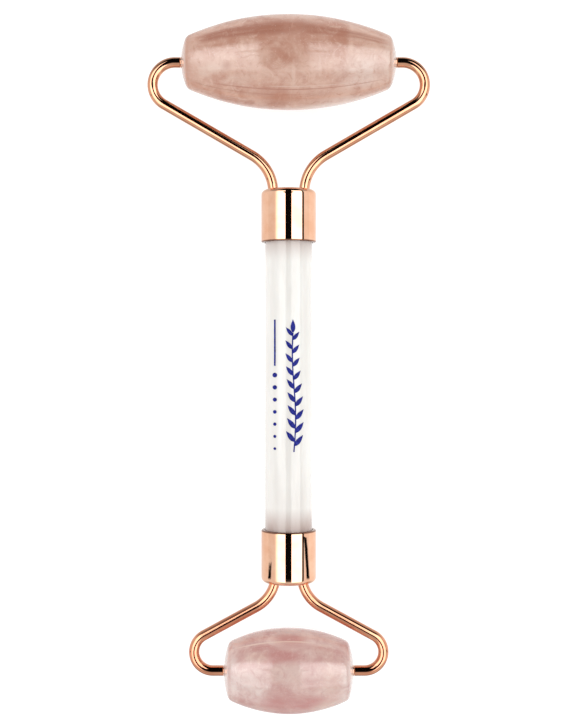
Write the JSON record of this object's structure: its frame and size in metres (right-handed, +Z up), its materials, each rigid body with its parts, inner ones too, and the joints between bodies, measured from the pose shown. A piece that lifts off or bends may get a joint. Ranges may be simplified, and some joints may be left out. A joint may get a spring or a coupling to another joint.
{
  "type": "face roller",
  "caption": "Hand-held facial massage roller: a barrel-shaped rose quartz stone spins in a bent wire fork at either end of a white quartz handle held in rose-gold ferrules.",
  "frame": {"origin": "centre of the outline seen from above, on the table that the two stones rest on", "axes": "+Y along the handle towards the large stone, +X along both axles, +Z up"},
  "size_m": [0.0608, 0.15, 0.0202],
  "materials": {
    "rose_quartz": "polished",
    "milky_quartz": "polished",
    "rose_gold": "polished",
    "steel": "satin",
    "epoxy": "satin",
    "nylon": "satin"
  },
  "bodies": {
    "handle_assembly": {"handle": "milky_quartz", "large_ferrule": "rose_gold", "large_anchor": "steel", "large_adhesive": "epoxy", "large_arm_right": "rose_gold", "large_arm_left": "rose_gold", "small_ferrule": "rose_gold", "small_anchor": "steel", "small_adhesive": "epoxy", "small_arm_right": "rose_gold", "small_arm_left": "rose_gold"},
    "large_roller": {"large_stone": "rose_quartz", "large_eyelet_right": "rose_gold", "large_eyelet_left": "rose_gold", "large_sleeve_right": "nylon", "large_sleeve_left": "nylon"},
    "small_roller": {"small_stone": "rose_quartz", "small_eyelet_right": "rose_gold", "small_eyelet_left": "rose_gold", "small_sleeve_right": "nylon", "small_sleeve_left": "nylon"}
  },
  "joints": [
    {"name": "large_spin", "type": "hinge", "parent": "handle_assembly", "child": "large_roller", "pos_m": [0, 0.06495, 0.0101], "axis": [1, 0, 0], "continuous": true},
    {"name": "small_spin", "type": "hinge", "parent": "handle_assembly", "child": "small_roller", "pos_m": [0, -0.06595, 0.0091], "axis": [1, 0, 0], "continuous": true}
  ]
}
